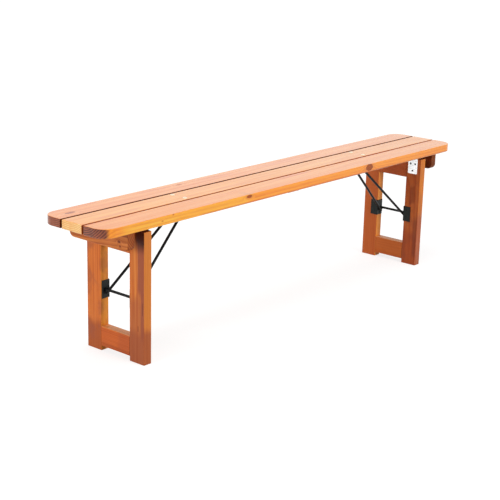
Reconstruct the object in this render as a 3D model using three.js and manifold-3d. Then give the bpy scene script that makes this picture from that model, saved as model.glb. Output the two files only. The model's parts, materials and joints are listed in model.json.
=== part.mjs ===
// Folding bench in millimetres, +Z up.
// The origin is on the floor under the middle of the seat. X runs along the bench and the front is at -Y.
// Each end is built once, for the right, and turned half round for the left.
import * as THREE from "three";
import { mergeVertices } from "three/addons/utils/BufferGeometryUtils.js";
import Module from "manifold-3d";

const wasm = await Module();
wasm.setup();

// Seat
const seatLength = 1816;
const seatHeight = 453;
const boardThickness = 28;
const plankWidth = 87;
const plankGap = 5;
const seatCornerRadius = 48;
const plankArris = 2.5;

// Battens under the seat
const battenInset = 101;
const battenThickness = 27;
const battenHeight = 57;
const battenEndSetback = 10;
const battenCornerRadius = 18;
const battenArris = 1.5;
const middleBattenWidth = 60;
const middleBattenLength = 170;
const middleBattenThickness = 20;

// Leg frames
const legInset = 168;
const legThickness = 31;
const legWidth = 248;
const legTopClearance = 11;
const stileWidth = 62;
const topRailHeight = 76;
const bottomRailHeight = 64;
const bottomRailLift = 15;
const legArris = 2;
const tenonThickness = 9;
const tenonShoulder = 12;
const tenonLength = 9;

// Hinges, whose axis is as far below the seat as it is inside the leg
const hingeOffset = 6;
const leafWidth = 41;
const leafLength = 63;
const leafThickness = 2;
const leafSetIn = 7.6;
const knuckleRadius = 4.8;
const knuckleClearance = 0.4;
const hingePinRadius = 2.3;

// Screws of the leg leaves, two in a row near the knuckle and one further down
const screwShankRadius = 1.8;
const screwLength = 16;
const screwHeadRadius = 3.8;
const screwHeadHeight = 1.6;
const screwRowDrop = 25;
const screwRowSpacing = 20;
const lowScrewDrop = 51;

// Braces of round steel bar
const barRadius = 4.5;
const crossBarHeight = 196;
const braceReach = 267;
const bracePivotDrop = 6.5;
const braceSideClearance = 1.7;
const braceTopHalfWidth = 17;
const braceTail = 10;
const legFoldAngle = 90;

// Catch plates on the inner corners of the stiles
const catchHeight = 58;
const catchThickness = 2;
const catchFlangeWidth = 29;
const catchSetback = 2.5;
const grooveClearance = 0.6;
const grooveFloor = 0.7;

// Brackets under the middle plank, with their bolts
const bracketThickness = 2.5;
const bracketWidth = 76;
const bracketLength = 14;
const bracketStart = 4;
const earRadius = 6.1;
const earThickness = 3;
const earCentre = 10;
const earHoleClearance = 0.3;
const tipOverhang = 2;
const boltSpacing = 54;
const boltRadius = 3;
const boltHeadRadius = 7.5;
const boltHeadHeight = 3;
const boltTail = 2;
const nutRadius = 5.7;
const nutHeight = 5;

// Gap left between pieces that are fastened together, and the overrun of every cut
const fitGap = 0.3;
const overrun = 2;

// Facets
const cornerSegments = 8;
const arrisSegments = 3;
const roundSegments = 12;
const grooveSteps = 10;
const nutSides = 6;

const degree = Math.PI / 180;
const undersideZ = seatHeight - boardThickness;
const seatWidth = 3 * plankWidth + 2 * plankGap;
const seatEndX = seatLength / 2;
const legOuterX = seatEndX - legInset;
const legInnerX = legOuterX - legThickness;
const legTopZ = undersideZ - legTopClearance;
const stileInnerY = legWidth / 2 - stileWidth;
const hinge = new THREE.Vector3(legInnerX - hingeOffset, 0, undersideZ - hingeOffset);
const hingeY = stileInnerY + leafSetIn + leafWidth / 2;
const catchInnerY = stileInnerY - fitGap - catchThickness;
const braceFootHalfWidth = catchInnerY - braceSideClearance - barRadius;

// The brace turns about its pivot under the seat, and its cross bar lies at mid thickness of the leg.
const crossBar = new THREE.Vector3(legInnerX + legThickness / 2, 0, crossBarHeight);
const pivot = new THREE.Vector3(crossBar.x - braceReach, 0, undersideZ - bracePivotDrop);
const boltX = pivot.x + bracketStart + bracketLength / 2;
const lap = 2 * barRadius + fitGap;
const pivotToCrossBar = Math.hypot(braceReach, pivot.z - crossBar.z);
const braceLength = Math.sqrt(pivotToCrossBar ** 2 - lap ** 2);
const braceAngle = Math.atan2(pivot.z - crossBar.z, braceReach) + Math.asin(lap / pivotToCrossBar);
const braceTurnPerFold = (Math.PI - braceAngle) / (legFoldAngle * degree);

function steel(color, roughness) {
  return new THREE.MeshStandardMaterial({ color, roughness, metalness: 1 });
}

function timber(color) {
  return new THREE.MeshStandardMaterial({ color, roughness: 0.45, metalness: 0 });
}

const seatWood = timber(0xe9ae82);
const battenWood = timber(0xcd824a);
const legWood = timber(0xb4683c);
const zinc = steel(0xe6e8ea, 0.35);
const blackSteel = steel(0x26292b, 0.4);
const boltSteel = steel(0xc9ccd0, 0.3);

// A closed geometry as a solid that can be cut and joined
function solid(geometry) {
  const bare = geometry.clone();
  bare.deleteAttribute("normal");
  bare.deleteAttribute("uv");
  const merged = mergeVertices(bare);
  return new wasm.Manifold(
    new wasm.Mesh({
      numProp: 3,
      vertProperties: merged.attributes.position.array,
      triVerts: new Uint32Array(merged.index.array),
    }),
  );
}

function geometryOf(body) {
  const { vertProperties, triVerts } = body.getMesh();
  const geometry = new THREE.BufferGeometry();
  geometry.setAttribute("position", new THREE.BufferAttribute(vertProperties, 3));
  geometry.setIndex(new THREE.BufferAttribute(triVerts, 1));
  const faceted = geometry.toNonIndexed();
  faceted.computeVertexNormals();
  return faceted;
}

function cut(geometry, cutters) {
  return cutters.reduce((body, cutter) => body.subtract(solid(cutter)), solid(geometry));
}

function join(geometries) {
  return geometries.map(solid).reduce((body, other) => body.add(other));
}

function meshOf(name, shape, material) {
  const geometry = shape.isBufferGeometry ? shape : geometryOf(shape);
  const mesh = new THREE.Mesh(geometry, material);
  mesh.name = name;
  return mesh;
}

// Turns a shape drawn in XY and extruded along Z so that it lies in XZ and runs along -Y
function facingFront(geometry) {
  const x = new THREE.Vector3(1, 0, 0);
  const y = new THREE.Vector3(0, 0, 1);
  const z = new THREE.Vector3(0, -1, 0);
  return geometry.applyMatrix4(new THREE.Matrix4().makeBasis(x, y, z));
}

// Turns a shape drawn in XY and extruded along Z so that it lies in YZ and runs along +X
function facingEnd(geometry) {
  const x = new THREE.Vector3(0, 1, 0);
  const y = new THREE.Vector3(0, 0, 1);
  const z = new THREE.Vector3(1, 0, 0);
  return geometry.applyMatrix4(new THREE.Matrix4().makeBasis(x, y, z));
}

// A rectangle about the origin with one radius for its two low corners and one for its two high corners
function rectangle(width, height, lowRadius, highRadius) {
  const shape = new THREE.Shape();
  const right = width / 2;
  const top = height / 2;
  shape.moveTo(lowRadius - right, -top);
  shape.lineTo(right - lowRadius, -top);
  if (lowRadius > 0) {
    shape.absarc(right - lowRadius, lowRadius - top, lowRadius, -Math.PI / 2, 0);
  }
  shape.lineTo(right, top - highRadius);
  if (highRadius > 0) {
    shape.absarc(right - highRadius, top - highRadius, highRadius, 0, Math.PI / 2);
  }
  shape.lineTo(highRadius - right, top);
  if (highRadius > 0) {
    shape.absarc(highRadius - right, top - highRadius, highRadius, Math.PI / 2, Math.PI);
  }
  shape.lineTo(-right, lowRadius - top);
  if (lowRadius > 0) {
    shape.absarc(lowRadius - right, lowRadius - top, lowRadius, Math.PI, 1.5 * Math.PI);
  }
  return shape;
}

function extrude(shape, depth, curveSegments) {
  return new THREE.ExtrudeGeometry(shape, { depth, curveSegments, bevelEnabled: false });
}

// A board of the given outline, its edges rounded all round, from z = 0 up
function board(shape, thickness, arris) {
  const geometry = new THREE.ExtrudeGeometry(shape, {
    depth: thickness - 2 * arris,
    curveSegments: cornerSegments,
    bevelThickness: arris,
    bevelSize: arris,
    bevelOffset: -arris,
    bevelSegments: arrisSegments,
  });
  return geometry.translate(0, 0, arris);
}

// A block between two corners
function block(x0, x1, y0, y1, z0, z1) {
  const geometry = new THREE.BoxGeometry(x1 - x0, y1 - y0, z1 - z0);
  return geometry.translate((x0 + x1) / 2, (y0 + y1) / 2, (z0 + z1) / 2);
}

// A round bar between two points
function roundBar(from, to, radius, segments = roundSegments) {
  const along = to.clone().sub(from);
  const geometry = new THREE.CylinderGeometry(radius, radius, along.length(), segments);
  const turn = new THREE.Quaternion();
  turn.setFromUnitVectors(new THREE.Vector3(0, 1, 0), along.normalize());
  const middle = from.clone().add(to).multiplyScalar(0.5);
  return geometry.applyQuaternion(turn).translate(middle.x, middle.y, middle.z);
}

// A round bar or hole along Y, centred on x, z
function barAlongY(x, z, y0, y1, radius) {
  const geometry = new THREE.CylinderGeometry(radius, radius, y1 - y0, roundSegments);
  return geometry.translate(x, (y0 + y1) / 2, z);
}

// A hole along X from x0 to x1
function holeAlongX(x0, x1, y, z, radius) {
  const geometry = new THREE.CylinderGeometry(radius, radius, x1 - x0, roundSegments);
  return geometry.rotateZ(Math.PI / 2).translate((x0 + x1) / 2, y, z);
}

// A hole along Z from z0 to z1
function holeAlongZ(x, y, z0, z1, radius) {
  const geometry = new THREE.CylinderGeometry(radius, radius, z1 - z0, roundSegments);
  return geometry.rotateX(Math.PI / 2).translate(x, y, (z0 + z1) / 2);
}

// A fastener along Y with a domed head above y = 0 and its shank below
function domedFastener(headRadius, headHeight, shankRadius, length) {
  const points = [new THREE.Vector2(0, -length), new THREE.Vector2(shankRadius, -length)];
  points.push(new THREE.Vector2(shankRadius, 0));
  for (let step = 0; step <= arrisSegments; step += 1) {
    const angle = (step / arrisSegments) * (Math.PI / 2);
    points.push(new THREE.Vector2(headRadius * Math.cos(angle), headHeight * Math.sin(angle)));
  }
  points[points.length - 1].x = 0;
  return new THREE.LatheGeometry(points, roundSegments);
}

// Seat planks

function plank(name, outerRadius, material) {
  const outline = rectangle(seatLength, plankWidth, 0, outerRadius);
  return meshOf(name, board(outline, boardThickness, plankArris), material);
}

function middlePlank() {
  const outline = rectangle(seatLength, plankWidth, 0, 0);
  const radius = boltRadius + fitGap;
  const holes = [];
  for (const end of [-1, 1]) {
    for (const side of [-1, 1]) {
      const y = (side * boltSpacing) / 2;
      holes.push(holeAlongZ(end * boltX, y, -overrun, boardThickness + overrun, radius));
    }
  }
  return meshOf("middle_plank", cut(board(outline, boardThickness, plankArris), holes), seatWood);
}

function seatPlanks() {
  const group = new THREE.Group();
  group.position.z = undersideZ;
  const rear = plank("rear_plank", seatCornerRadius, seatWood);
  rear.position.y = plankWidth + plankGap;
  const front = plank("front_plank", seatCornerRadius, seatWood);
  front.position.y = -plankWidth - plankGap;
  front.rotation.z = Math.PI;
  group.add(front, middlePlank(), rear);
  return group;
}

// Battens

function endBatten(name) {
  const width = seatWidth - 2 * battenEndSetback;
  const outline = rectangle(width, battenHeight, battenCornerRadius, 0);
  const batten = meshOf(name, facingEnd(board(outline, battenThickness, battenArris)), battenWood);
  batten.position.x = seatEndX - battenInset - battenThickness;
  batten.position.z = undersideZ - fitGap - battenHeight / 2;
  return batten;
}

function middleBatten() {
  const outline = rectangle(middleBattenWidth, middleBattenLength, 0, 0);
  const batten = meshOf("middle_batten", board(outline, middleBattenThickness, battenArris), battenWood);
  batten.position.z = undersideZ - fitGap - middleBattenThickness;
  return batten;
}

// Leg frame, in a frame whose origin is on the hinge axis

const faceX = hingeOffset;
const floorZ = -hinge.z;
const topZ = legTopZ - hinge.z;
const leafScrews = [
  { y: -screwRowSpacing / 2, z: -screwRowDrop },
  { y: screwRowSpacing / 2, z: -screwRowDrop },
  { y: 0, z: -lowScrewDrop },
];
const rails = [
  { name: "top_rail", low: topZ - topRailHeight, high: topZ },
  { name: "bottom_rail", low: floorZ + bottomRailLift, high: floorZ + bottomRailLift + bottomRailHeight },
];

function tenon(rail, y0, y1, gap) {
  const middle = faceX + legThickness / 2;
  const half = tenonThickness / 2 + gap;
  const low = rail.low + tenonShoulder - gap;
  const high = rail.high - tenonShoulder + gap;
  return block(middle - half, middle + half, y0, y1, low, high);
}

function railMesh(name, rail) {
  const height = rail.high - rail.low;
  const length = 2 * (stileInnerY - fitGap);
  const section = rectangle(legThickness, height, legArris, legArris);
  const bar = facingFront(extrude(section, length, arrisSegments));
  bar.translate(faceX + legThickness / 2, length / 2, (rail.low + rail.high) / 2);
  const reach = stileInnerY + tenonLength;
  return meshOf(name, join([bar, tenon(rail, -reach, reach, 0)]), legWood);
}

function stileMesh(name, side) {
  const section = rectangle(legThickness, stileWidth, legArris, legArris);
  const middleY = side * (stileInnerY + stileWidth / 2);
  const bar = extrude(section, topZ - floorZ, arrisSegments);
  bar.translate(faceX + legThickness / 2, middleY, floorZ);
  const ends = [side * (stileInnerY - overrun), side * (stileInnerY + tenonLength + fitGap)];
  const mortises = rails.map((rail) => tenon(rail, Math.min(...ends), Math.max(...ends), fitGap));
  const depth = faceX + screwLength + fitGap;
  const pilots = leafScrews.map((screw) =>
    holeAlongX(faceX - overrun, depth, side * hingeY + screw.y, screw.z, screwShankRadius + fitGap),
  );
  return meshOf(name, cut(bar, [...mortises, ...pilots]), legWood);
}

// Catch plate: an angle on the stile's inner corner, with a groove along the path of the cross bar's end

function turnDown(point, centre, angle) {
  const x = point.x - centre.x;
  const z = point.z - centre.z;
  const sine = Math.sin(angle);
  const cosine = Math.cos(angle);
  return new THREE.Vector2(centre.x + x * cosine + z * sine, centre.z - x * sine + z * cosine);
}

// Where the cross bar is in the leg's frame when the leg has folded by the angle
function crossBarInLeg(angle) {
  const swung = turnDown(crossBar, pivot, angle * braceTurnPerFold);
  const seen = turnDown({ x: swung.x, z: swung.y }, hinge, -angle);
  return new THREE.Vector2(seen.x - hinge.x, seen.y - hinge.z);
}

function grooveOutline() {
  const start = crossBarInLeg(0);
  const leave = start.y - catchHeight / 2 - overrun;
  const reach = new THREE.Vector2(crossBar.x - hinge.x, crossBar.z - hinge.z).length();
  const path = [start];
  const step = catchHeight / grooveSteps / reach;
  for (let angle = step; path[path.length - 1].y > leave; angle += step) {
    path.push(crossBarInLeg(angle));
  }
  const half = barRadius + grooveClearance;
  const left = [];
  const right = [];
  path.forEach((point, index) => {
    const before = path[Math.max(index - 1, 0)];
    const after = path[Math.min(index + 1, path.length - 1)];
    const along = after.clone().sub(before).normalize();
    const across = new THREE.Vector2(-along.y, along.x).multiplyScalar(half);
    left.push(point.clone().add(across));
    right.push(point.clone().sub(across));
  });
  const heading = path[1].clone().sub(start).angle();
  const round = [];
  for (let index = 1; index < cornerSegments; index += 1) {
    const angle = heading - Math.PI / 2 - (index / cornerSegments) * Math.PI;
    round.push(start.clone().add(new THREE.Vector2(Math.cos(angle), Math.sin(angle)).multiplyScalar(half)));
  }
  return new THREE.Shape([...right.reverse(), ...round, ...left]);
}

function catchPlate(name, side) {
  const outerX = faceX - fitGap - catchThickness;
  const innerX = outerX + catchThickness;
  const outerY = catchInnerY;
  const innerY = outerY + catchThickness;
  const flangeEnd = faceX + legThickness - catchSetback;
  const profile = [
    [outerX, outerY],
    [flangeEnd, outerY],
    [flangeEnd, innerY],
    [innerX, innerY],
    [innerX, stileInnerY + catchFlangeWidth],
    [outerX, stileInnerY + catchFlangeWidth],
  ];
  const outline = new THREE.Shape(profile.map(([x, y]) => new THREE.Vector2(x, side * y)));
  const angle = extrude(outline, catchHeight, 1);
  angle.translate(0, 0, crossBar.z - hinge.z - catchHeight / 2);
  const depth = overrun + catchThickness - grooveFloor;
  const groove = facingFront(extrude(grooveOutline(), depth, 1));
  groove.translate(0, side * (innerY - grooveFloor - depth / 2) + depth / 2, 0);
  return meshOf(name, cut(angle, [groove]), blackSteel);
}

// Hinge, in a frame whose origin is on the axis at mid width

const leafNear = hingeOffset - fitGap - leafThickness;
const leafFar = hingeOffset - fitGap;
const knuckleEdge = leafWidth / 6;

function knuckle(y0, y1, radius) {
  return barAlongY(0, 0, y0, y1, radius);
}

function hingeLeaf(name, plate, own, others, holes) {
  const bore = knuckle(-leafWidth, leafWidth, hingePinRadius + fitGap);
  const rings = own.map(([y0, y1]) => knuckle(y0, y1, knuckleRadius));
  const reliefs = others.map(([y0, y1]) => {
    const radius = knuckleRadius + knuckleClearance;
    return knuckle(y0 - knuckleClearance, y1 + knuckleClearance, radius);
  });
  const relieved = cut(plate, reliefs);
  const body = rings.map(solid).reduce((joined, ring) => joined.add(ring), relieved);
  const bored = [bore, ...holes].reduce((rest, hole) => rest.subtract(solid(hole)), body);
  return meshOf(name, bored, zinc);
}

const middleKnuckle = [[-knuckleEdge, knuckleEdge]];
const outerKnuckles = [
  [-leafWidth / 2, -knuckleEdge - knuckleClearance],
  [knuckleEdge + knuckleClearance, leafWidth / 2],
];

function seatLeaf(name) {
  const plate = block(-leafLength, 0, -leafWidth / 2, leafWidth / 2, leafNear, leafFar);
  const holes = leafScrews.map((screw) =>
    holeAlongZ(screw.z, screw.y, leafNear - overrun, leafFar + overrun, screwShankRadius + fitGap),
  );
  return hingeLeaf(name, plate, outerKnuckles, middleKnuckle, holes);
}

function legLeaf(name) {
  const plate = block(leafNear, leafFar, -leafWidth / 2, leafWidth / 2, -leafLength, 0);
  const holes = leafScrews.map((screw) =>
    holeAlongX(leafNear - overrun, leafFar + overrun, screw.y, screw.z, screwShankRadius + fitGap),
  );
  return hingeLeaf(name, plate, middleKnuckle, outerKnuckles, holes);
}

function leafScrew(name, place) {
  const geometry = domedFastener(screwHeadRadius, screwHeadHeight, screwShankRadius, screwLength);
  const screw = meshOf(name, geometry.rotateZ(Math.PI / 2), zinc);
  screw.position.set(leafNear - fitGap, place.y, place.z);
  return screw;
}

// Bracket, in a frame whose origin is on the brace's pivot axis

function bracketMesh(name) {
  const top = bracePivotDrop - fitGap;
  const low = top - bracketThickness;
  const end = bracketStart + bracketLength;
  const base = block(bracketStart, end, -bracketWidth / 2, bracketWidth / 2, low, top);
  const ears = [-earCentre, earCentre].map((y) => {
    const outline = new THREE.Shape();
    outline.absarc(0, 0, earRadius, Math.PI / 2, 1.5 * Math.PI);
    outline.lineTo(end, low - bracketThickness);
    outline.lineTo(end, earRadius);
    const ear = facingFront(extrude(outline, earThickness, cornerSegments));
    return ear.translate(0, y + earThickness / 2, 0);
  });
  const hole = barAlongY(0, 0, -bracketWidth, bracketWidth, barRadius + earHoleClearance);
  const boltHoles = [-boltSpacing, boltSpacing].map((spacing) =>
    holeAlongZ(boltX - pivot.x, spacing / 2, low - overrun, top + overrun, boltRadius + fitGap),
  );
  const cutters = [hole, ...boltHoles].map(solid);
  const body = cutters.reduce((rest, cutter) => rest.subtract(cutter), join([base, ...ears]));
  return meshOf(name, body, blackSteel);
}

const boltLength = boardThickness + 2 * fitGap + bracketThickness + nutHeight + boltTail;

function boltMesh(name, x, y) {
  const geometry = domedFastener(boltHeadRadius, boltHeadHeight, boltRadius, boltLength);
  const bolt = meshOf(name, geometry.rotateX(Math.PI / 2), boltSteel);
  bolt.position.set(x, y, seatHeight + fitGap);
  return bolt;
}

function nutMesh(name, x, y) {
  const hexagon = new THREE.CylinderGeometry(nutRadius, nutRadius, nutHeight, nutSides);
  const bore = new THREE.CylinderGeometry(
    boltRadius + fitGap,
    boltRadius + fitGap,
    nutHeight + 2 * overrun,
    roundSegments,
  );
  const nut = meshOf(name, geometryOf(cut(hexagon, [bore])).rotateX(Math.PI / 2), boltSteel);
  nut.position.set(x, y, undersideZ - 2 * fitGap - bracketThickness - nutHeight / 2);
  return nut;
}

// Brace, in a frame whose origin is on its pivot and whose X runs down the diagonal bars

function diagonalBar(name, side) {
  const spread = (braceFootHalfWidth - braceTopHalfWidth) / braceLength;
  const bend = new THREE.Vector3(0, side * braceTopHalfWidth, 0);
  const footY = braceTopHalfWidth + spread * (braceLength + braceTail);
  const foot = new THREE.Vector3(braceLength + braceTail, side * footY, 0);
  const tipY = side * (earCentre - earThickness / 2 - tipOverhang);
  const tip = new THREE.Vector3(0, tipY, 0);
  const elbow = new THREE.SphereGeometry(barRadius, roundSegments, roundSegments / 2);
  elbow.translate(bend.x, bend.y, bend.z);
  const parts = [roundBar(bend, foot, barRadius), elbow, roundBar(tip, bend, barRadius)];
  return meshOf(name, join(parts), blackSteel);
}

function crossBarMesh(name) {
  const half = catchInnerY + catchThickness - grooveFloor - fitGap;
  return meshOf(name, barAlongY(braceLength, lap, -half, half, barRadius), blackSteel);
}

// One end of the bench. Turned half round, its front and rear change places.

function endOfBench(end, frontSide) {
  const group = new THREE.Group();
  const sides = [
    { word: "front", side: frontSide },
    { word: "rear", side: -frontSide },
  ];
  group.add(endBatten(`${end}_end_batten`));

  const leg = new THREE.Group();
  leg.position.copy(hinge);
  group.add(leg);
  for (const rail of rails) {
    leg.add(railMesh(`${end}_leg_${rail.name}`, rail));
  }

  const brace = new THREE.Group();
  brace.position.copy(pivot);
  brace.rotation.y = braceAngle;
  brace.add(crossBarMesh(`${end}_brace_cross_rod`));
  group.add(brace);

  const bracket = bracketMesh(`${end}_brace_bracket`);
  bracket.position.copy(pivot);
  group.add(bracket);

  for (const { word, side } of sides) {
    leg.add(stileMesh(`${end}_leg_${word}_stile`, side));
    leg.add(catchPlate(`${end}_${word}_catch_plate`, side));
    brace.add(diagonalBar(`${end}_brace_${word}_rod`, side));
    group.add(boltMesh(`${end}_${word}_bracket_bolt`, boltX, (side * boltSpacing) / 2));
    group.add(nutMesh(`${end}_${word}_bracket_nut`, boltX, (side * boltSpacing) / 2));

    const hingeGroup = new THREE.Group();
    hingeGroup.position.copy(hinge);
    hingeGroup.position.y = side * hingeY;
    hingeGroup.add(seatLeaf(`${end}_${word}_hinge_seat_leaf`));
    hingeGroup.add(legLeaf(`${end}_${word}_hinge_leg_leaf`));
    const pin = barAlongY(0, 0, -leafWidth / 2, leafWidth / 2, hingePinRadius);
    hingeGroup.add(meshOf(`${end}_${word}_hinge_pin`, pin, zinc));
    leafScrews.forEach((place, index) => {
      hingeGroup.add(leafScrew(`${end}_${word}_hinge_screw_${index + 1}`, place));
    });
    group.add(hingeGroup);
  }
  return group;
}

const bench = new THREE.Group();
bench.add(seatPlanks());
bench.add(middleBatten());
bench.add(endOfBench("right", -1));
const leftEnd = endOfBench("left", 1);
leftEnd.rotation.z = Math.PI;
bench.add(leftEnd);

export default bench;
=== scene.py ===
import json
import math

import bmesh
import bpy
from mathutils import Matrix, Vector


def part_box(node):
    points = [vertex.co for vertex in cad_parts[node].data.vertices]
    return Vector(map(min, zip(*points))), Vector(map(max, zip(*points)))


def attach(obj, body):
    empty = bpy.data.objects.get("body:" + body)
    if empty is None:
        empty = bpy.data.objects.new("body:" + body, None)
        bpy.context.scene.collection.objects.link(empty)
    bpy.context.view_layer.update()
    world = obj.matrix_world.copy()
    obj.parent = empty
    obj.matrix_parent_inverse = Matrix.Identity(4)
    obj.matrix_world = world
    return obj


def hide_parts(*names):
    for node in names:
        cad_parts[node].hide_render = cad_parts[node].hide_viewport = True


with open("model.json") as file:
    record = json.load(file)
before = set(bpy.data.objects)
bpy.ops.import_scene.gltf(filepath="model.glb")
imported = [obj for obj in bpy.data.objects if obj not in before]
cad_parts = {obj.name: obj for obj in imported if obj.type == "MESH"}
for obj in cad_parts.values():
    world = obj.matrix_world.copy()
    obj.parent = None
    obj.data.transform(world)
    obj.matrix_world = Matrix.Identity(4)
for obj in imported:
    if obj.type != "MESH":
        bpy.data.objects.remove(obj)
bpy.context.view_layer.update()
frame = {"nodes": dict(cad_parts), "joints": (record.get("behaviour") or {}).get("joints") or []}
nodes = frame["nodes"]
scene = bpy.context.scene

# The view: a camera to the left of the bench and in front of it, at chest height, with a long lens. The left
# end of the bench is nearest.
camera_place = Vector((-3.192395, -2.619271, 1.398996))
camera_yaw = math.radians(49.5543)
camera_pitch = math.radians(16.4411)
camera_roll = math.radians(1.4958)
focal_pixels = 1249.3555
picture_pixels = 500
sensor_mm = 36
farthest_seen = 100


def select_nothing():
    bpy.ops.object.select_all(action="DESELECT")


ahead = Vector((math.sin(camera_yaw), math.cos(camera_yaw), 0)) * math.cos(camera_pitch)
ahead.z = -math.sin(camera_pitch)
level = Vector((math.cos(camera_yaw), -math.sin(camera_yaw), 0))
above = level.cross(ahead)
right = level * math.cos(camera_roll) + above * math.sin(camera_roll)
up = above * math.cos(camera_roll) - level * math.sin(camera_roll)
select_nothing()
bpy.ops.object.camera_add()
camera = bpy.context.object
camera.data.sensor_width = sensor_mm
camera.data.lens = focal_pixels / picture_pixels * sensor_mm
camera.data.clip_end = farthest_seen
turned_to_bench = Matrix((right, up, -ahead)).transposed().to_4x4()
camera.matrix_world = Matrix.Translation(camera_place) @ turned_to_bench
scene.camera = camera

# The seat's three planks: planed pine, stained orange and varnished. The outer corners of the outer planks
# are rounded in plan and every edge has a small round. The middle plank is bored for the coach bolts.
plank_corner = 0.048
plank_arris = 0.0025
bolt_hole = 0.0033
bolt_hole_depth = 0.03
sharp_angle = math.radians(35)
square_enough = 0.9

# A cutter stands a hair proud of the face it enters, and edges are picked out to within a hair.
hair = 0.001

# Pine: which axes run along a board, across it and through it, by the way its grain runs, and how fine its
# marks are in those directions, in waves a metre. Its rings and stains stray by so many metres, and the edge
# of a knot by a share of its radius. The tone of the grain goes least deep in red and deepest in blue.
grain_orders = {"X": (0, 1, 2), "Y": (1, 2, 0), "Z": (2, 1, 0)}
fibre_waves = (14, 900, 900)
streak_waves = (2.4, 85, 85)
patch_waves = (7, 34, 34)
cloud_waves = (18, 30, 30)
pore_waves = (900, 900, 900)
ring_waves = (1.6, 9, 9)
ring_stray = (0, 0.016, 0.016)
knot_edge_waves = (210, 210, 210)
knot_edge_stray = (0.5, 0.5, 0.5)
knot_bulge = 0.009
stain_waves = (5, 20, 20)
stain_stray = (0.06, 0.022, 0.022)
stain_softness = 0.12
longest_fade = 0.02
narrow_stain = 0.012
tone_depths = (0.6, 1.0, 1.6)
timber_shine = 0.2
varnish_haze = 0.12
varnish_index = 1.36


def middle_of(node):
    """The middle of a solid of the frame."""
    low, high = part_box(node)
    return (low + high) / 2


def srgb(red, green, blue):
    """A colour as a screen shows it, from 0 to 255, in the linear light that a shader works in."""
    shares = [channel / 255 for channel in (red, green, blue)]
    return [s / 12.92 if s <= 0.04045 else ((s + 0.055) / 1.055) ** 2.4 for s in shares] + [1]


def select_only(piece):
    select_nothing()
    piece.select_set(True)
    bpy.context.view_layer.objects.active = piece


def finish_with(piece, kind, **settings):
    """Adds a modifier and applies it."""
    select_only(piece)
    modifier = piece.modifiers.new(kind.lower(), kind)
    for name, value in settings.items():
        setattr(modifier, name, value)
    bpy.ops.object.modifier_apply(modifier=modifier.name)


def settle():
    """Moves the chosen piece's place, turn and size into its mesh."""
    bpy.ops.object.transform_apply(location=True, rotation=True, scale=True)


def sawn(name, low, high):
    """A block between two corners."""
    select_nothing()
    bpy.ops.mesh.primitive_cube_add(size=1, location=(Vector(low) + Vector(high)) / 2)
    piece = bpy.context.object
    piece.name = name
    piece.scale = Vector(high) - Vector(low)
    settle()
    return piece


def runs_along(run, axis):
    """Tells whether an edge's direction is that of an axis."""
    return abs(run["XYZ".index(axis)]) > square_enough


def round_edges(piece, chosen, radius, steps):
    """Rounds the edges whose middle and direction pass the test."""
    select_only(piece)
    bpy.ops.object.mode_set(mode="EDIT")
    bpy.ops.mesh.select_mode(type="EDGE")
    bpy.ops.mesh.select_all(action="DESELECT")
    mesh = bmesh.from_edit_mesh(piece.data)
    for edge in mesh.edges:
        first, second = (vertex.co for vertex in edge.verts)
        edge.select_set(chosen((first + second) / 2, (second - first).normalized()))
    bmesh.update_edit_mesh(piece.data)
    bpy.ops.mesh.bevel(offset=radius, segments=steps, affect="EDGES")
    bpy.ops.object.mode_set(mode="OBJECT")


def round_arrises(piece, radius, steps):
    finish_with(piece, "BEVEL", width=radius, segments=steps, limit_method="ANGLE", angle_limit=sharp_angle)


def smooth(piece):
    """Shades the rounds smooth and keeps the flat faces flat."""
    select_only(piece)
    bpy.ops.object.shade_smooth_by_angle(angle=sharp_angle)
    finish_with(piece, "WEIGHTED_NORMAL", keep_sharp=True)


def turned(name, rings, steps=24):
    """A solid turned about the Z axis, from the bottom up. Each ring is a height and a radius."""
    select_nothing()
    start, radius = rings[0]
    bpy.ops.mesh.primitive_circle_add(vertices=steps, radius=radius, fill_type="NGON", location=(0, 0, start))
    piece = bpy.context.object
    piece.name = name
    settle()
    bpy.ops.object.mode_set(mode="EDIT")
    bpy.ops.mesh.select_all(action="SELECT")
    for (height, radius), (next_height, next_radius) in zip(rings, rings[1:]):
        bpy.ops.mesh.extrude_region_move(TRANSFORM_OT_translate={"value": (0, 0, next_height - height)})
        growth = next_radius / radius
        bpy.ops.transform.resize(value=(growth, growth, 1), center_override=(0, 0, next_height))
    bpy.ops.mesh.select_all(action="SELECT")
    bpy.ops.mesh.normals_make_consistent(inside=False)
    bpy.ops.object.mode_set(mode="OBJECT")
    return piece


def turn_to(piece, point, turn):
    """Turns a piece about its origin and moves it to the point."""
    select_only(piece)
    piece.rotation_mode = "QUATERNION"
    piece.rotation_quaternion = turn
    piece.location = point
    settle()
    return piece


def stand(piece, point, axis):
    """Moves a piece made about the Z axis, so that Z points along the axis and its origin is at the point."""
    return turn_to(piece, point, Vector((0, 0, 1)).rotation_difference(Vector(axis)))


def combine(piece, tool, operation):
    """Cuts the tool out of the piece, joins it on, or keeps what they share, and throws the tool away."""
    finish_with(piece, "BOOLEAN", object=tool, operation=operation, solver="EXACT")
    bpy.data.objects.remove(tool)


def bore(piece, point, axis, radius, depth):
    """Drills a straight hole into the piece from a point on its surface, against the axis."""
    drill = stand(turned("drill", [(-depth, radius), (hair, radius)]), point, axis)
    combine(piece, drill, "DIFFERENCE")


def mark_end_grain(piece, grain):
    """Stores how squarely each corner of the mesh faces along the grain, where the wood drinks more stain."""
    axis = "XYZ".index(grain)
    mark = piece.data.attributes.new("end_grain", "FLOAT", "CORNER")
    for index, normal in enumerate(piece.data.corner_normals):
        mark.data[index].value = abs(normal.vector[axis])


def centre_of(piece):
    """The middle of a piece."""
    corners = [Vector(corner) for corner in piece.bound_box]
    return sum(corners, Vector()) / len(corners)


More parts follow.
